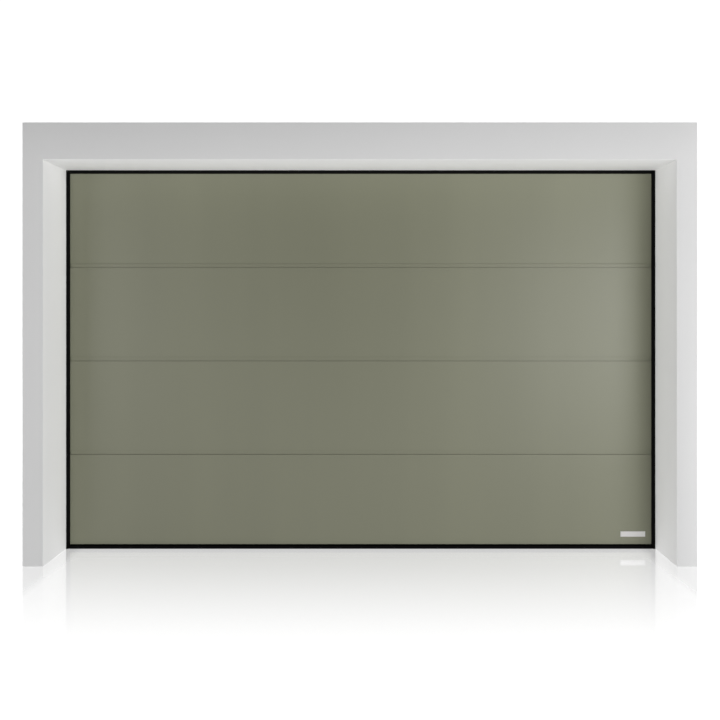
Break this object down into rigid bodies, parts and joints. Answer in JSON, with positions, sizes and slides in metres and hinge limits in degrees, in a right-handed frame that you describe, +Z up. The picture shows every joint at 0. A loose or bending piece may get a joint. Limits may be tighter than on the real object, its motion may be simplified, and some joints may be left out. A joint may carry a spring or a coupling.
{
  "type": "sectional garage door",
  "caption": "Closed sectional garage door with flush grey steel sections, black seals and a plastered portal, with roller tracks and torsion springs behind.",
  "frame": {"origin": "on the floor, under the middle of the closed leaf, at the middle of its thickness", "axes": "+X to the right seen from outside, +Y into the garage, +Z up"},
  "size_m": [3.86, 3.023, 2.6],
  "materials": {
    "plaster": "smooth white render on masonry",
    "leaf_steel": "satin olive grey coil coating",
    "galvanised_steel": "dull zinc coating",
    "turned_steel": "bright zinc plating",
    "spring_steel": "oil-tempered dark",
    "cable_steel": "galvanised wire rope",
    "cast_aluminium": "die cast",
    "rail_aluminium": "mill finish",
    "seal_rubber": "matt black",
    "white_plastic": "natural white, moulded",
    "shoe_plastic": "black moulded"
  },
  "bodies": {
    "root": {"jamb_left": "plaster", "jamb_right": "plaster", "lintel": "plaster", "bottom_section": "leaf_steel", "lower_middle_section": "leaf_steel", "upper_middle_section": "leaf_steel", "top_section": "leaf_steel", "side_frame_left": "galvanised_steel", "side_frame_right": "galvanised_steel", "header_frame": "galvanised_steel", "end_caps": "galvanised_steel", "vertical_track_left": "galvanised_steel", "vertical_track_right": "galvanised_steel", "track_bend_left": "galvanised_steel", "track_bend_right": "galvanised_steel", "horizontal_track_left": "galvanised_steel", "horizontal_track_right": "galvanised_steel", "track_angles": "galvanised_steel", "flag_brackets": "galvanised_steel", "rear_crossbar": "galvanised_steel", "ceiling_hangers": "galvanised_steel", "centre_hinge_lower_leaves": "galvanised_steel", "centre_hinge_upper_leaves": "galvanised_steel", "side_hinge_lower_leaves": "galvanised_steel", "roller_hinges": "galvanised_steel", "bottom_brackets": "galvanised_steel", "top_brackets": "galvanised_steel", "end_bearing_plates": "galvanised_steel", "centre_bearing_plate": "galvanised_steel", "hinge_pins": "turned_steel", "roller_stems": "turned_steel", "torsion_shaft": "turned_steel", "torsion_springs": "spring_steel", "lift_cables": "cable_steel", "cable_drums": "cast_aluminium", "spring_cones": "cast_aluminium", "bottom_rail": "rail_aluminium", "side_seal_left": "seal_rubber", "side_seal_right": "seal_rubber", "head_seal": "seal_rubber", "bottom_seal": "seal_rubber", "end_stops": "seal_rubber", "roller_wheels": "white_plastic", "frame_feet": "shoe_plastic"}
  },
  "joints": []
}
